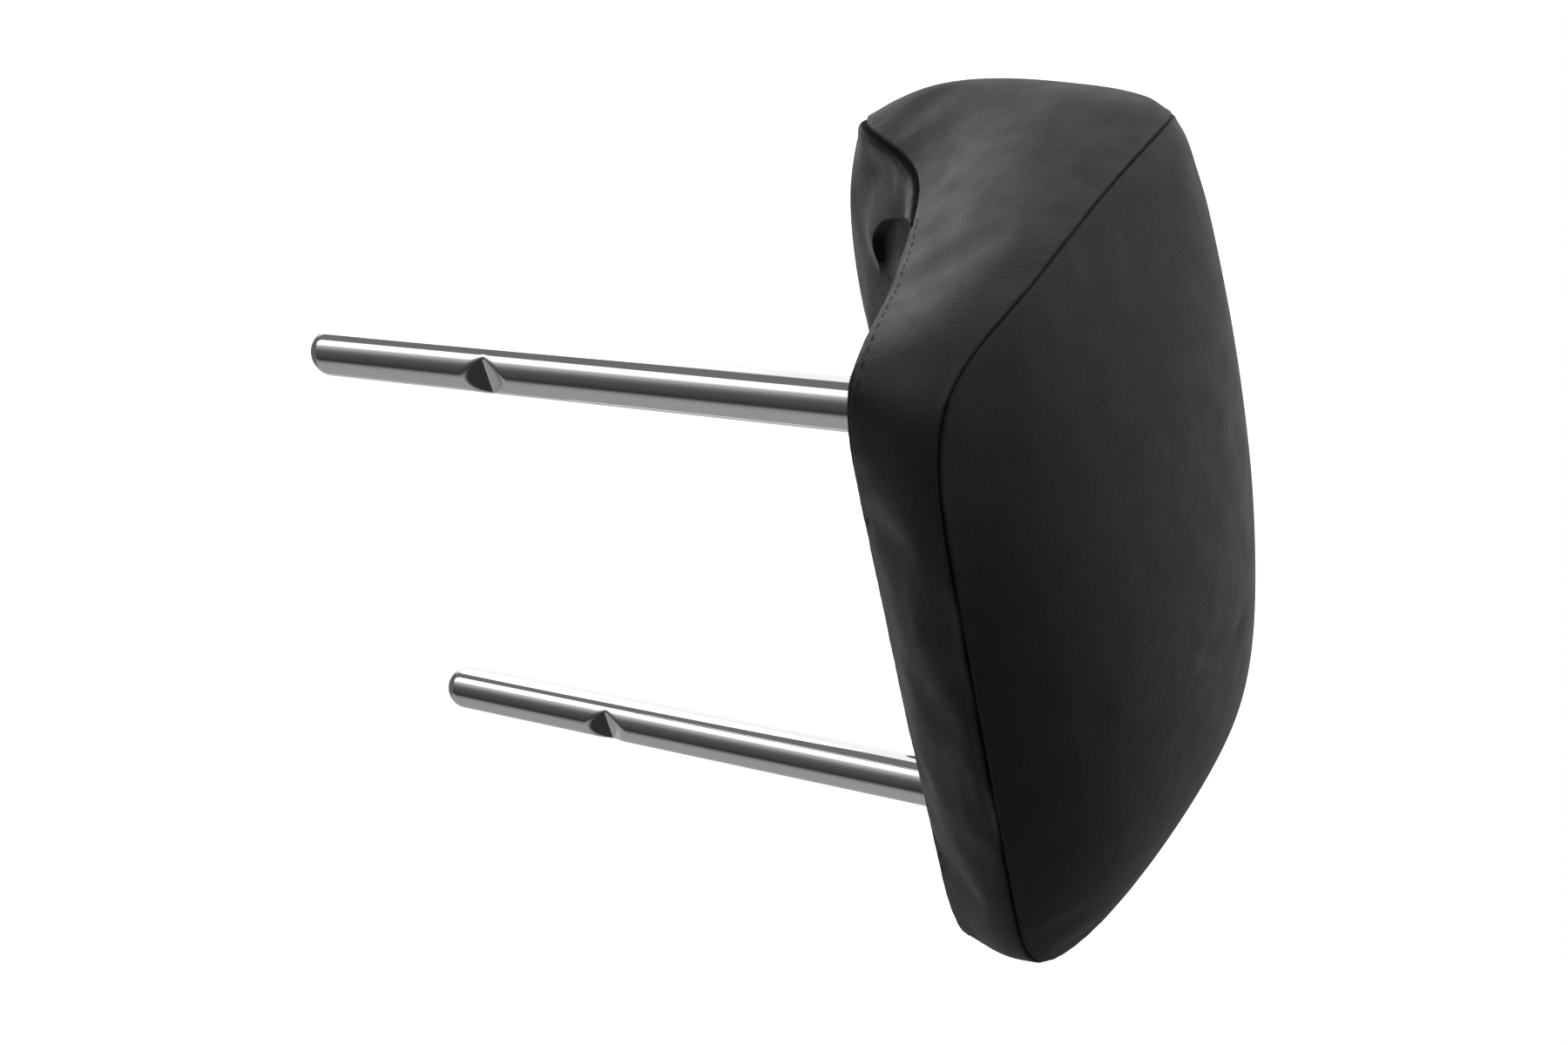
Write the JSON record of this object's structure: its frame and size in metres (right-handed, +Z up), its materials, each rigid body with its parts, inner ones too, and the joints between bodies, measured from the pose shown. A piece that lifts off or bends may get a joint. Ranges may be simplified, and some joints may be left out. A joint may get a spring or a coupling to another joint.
{
  "type": "car headrest",
  "caption": "Wedge-shaped leather car headrest with a front lobe that hangs over the seat back, on two chromed posts notched at the rear for a height lock.",
  "frame": {"origin": "midway between the two posts' axes, level with the place where they leave the cushion's underside", "axes": "+Z up along the posts, away from the seat; -Y to the front of the seat, where the lobe hangs; X across, from post to post"},
  "size_m": [0.213, 0.1768, 0.2566],
  "materials": {
    "cover": "fine-grained black leather, satin, sewn panels with pulled-in seams",
    "posts": "bright chrome plating on drawn steel",
    "wire": "plain zinc-coated steel",
    "core": "moulded dark grey plastic, ribbed inside",
    "foam": "moulded polyurethane foam",
    "trim": "moulded black plastic"
  },
  "bodies": {
    "root": {"post_frame": "posts", "lobe_wire": "wire", "core_front": "core", "core_rear": "core", "core_screw_1": "wire", "core_screw_2": "wire", "core_screw_3": "wire", "core_screw_4": "wire", "foam_pad": "foam", "cover_main_panel": "cover", "cover_band": "cover", "cover_under_front": "cover", "cover_under_rear": "cover", "post_bezel_left": "trim", "post_bezel_right": "trim", "closure_strip_front": "trim", "closure_strip_rear": "trim"}
  },
  "joints": []
}
